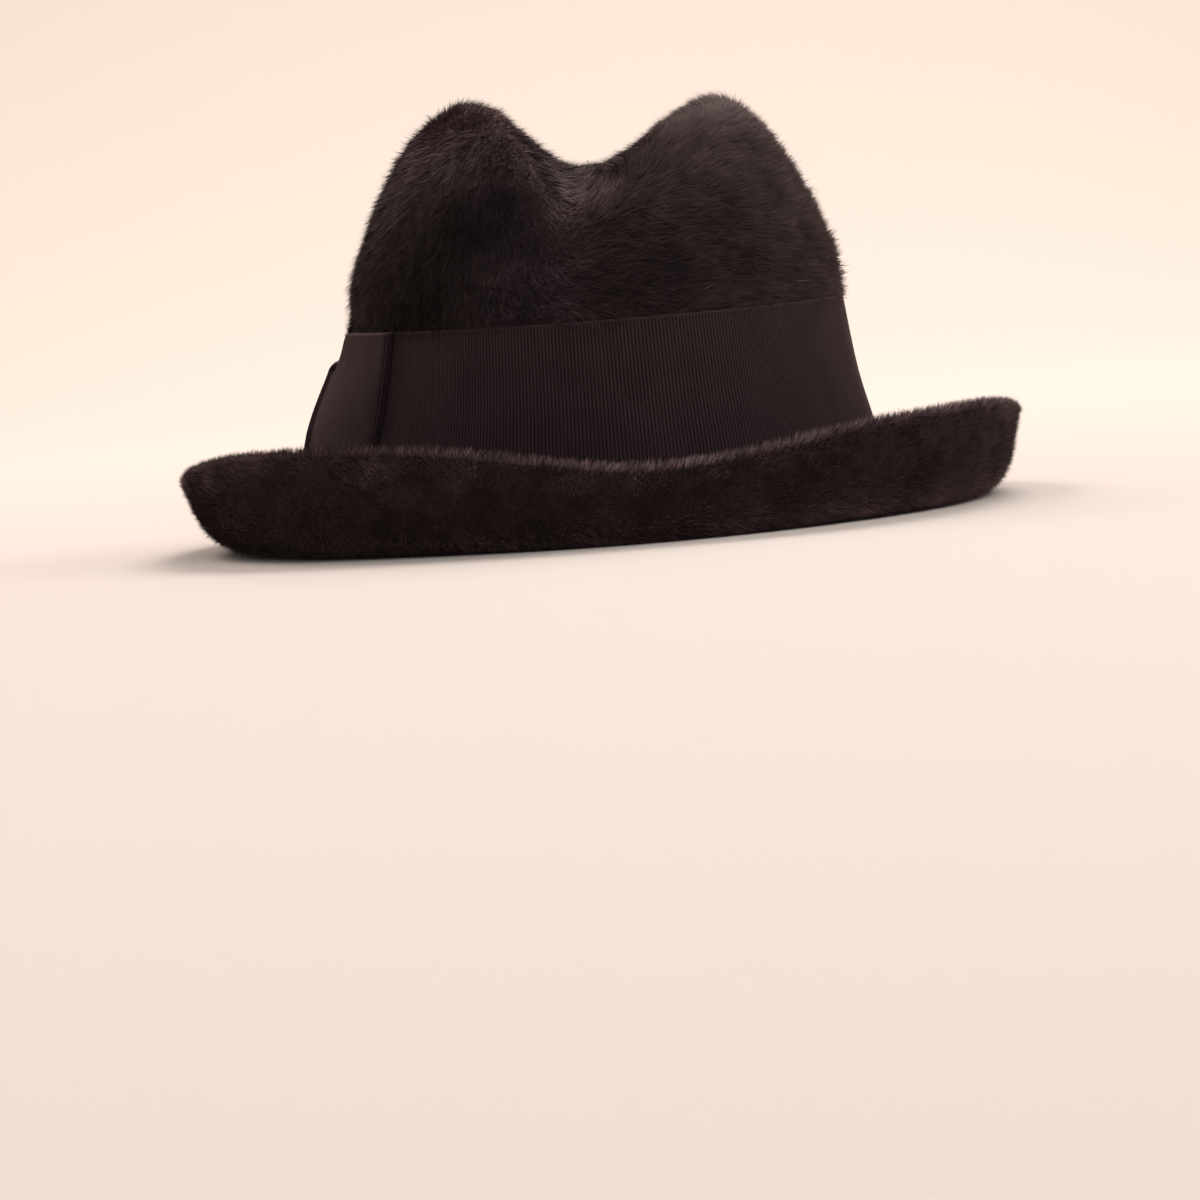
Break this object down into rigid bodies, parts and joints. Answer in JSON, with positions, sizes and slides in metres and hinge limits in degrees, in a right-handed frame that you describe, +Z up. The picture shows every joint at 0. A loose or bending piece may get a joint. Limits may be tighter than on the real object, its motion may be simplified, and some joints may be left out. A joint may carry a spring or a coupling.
{
  "type": "felt trilby hat",
  "caption": "Long-napped dark felt trilby with an open creased crown, turned-up back brim, wide grosgrain ribbon and flat side bow.",
  "frame": {"origin": "centre of the hat's outline seen from above, on the surface that the brim rests on", "axes": "+Y towards the front of the hat, +X towards the wearer's right, +Z up"},
  "size_m": [0.2598, 0.2854, 0.1315],
  "materials": {
    "felt": "long-napped brushed fur felt",
    "ribbon": "ribbed grosgrain, low sheen"
  },
  "bodies": {
    "root": {"felt_body": "felt", "ribbon_band": "ribbon", "bow_wing": "ribbon", "bow_loop": "ribbon", "bow_knot": "ribbon"}
  },
  "joints": []
}
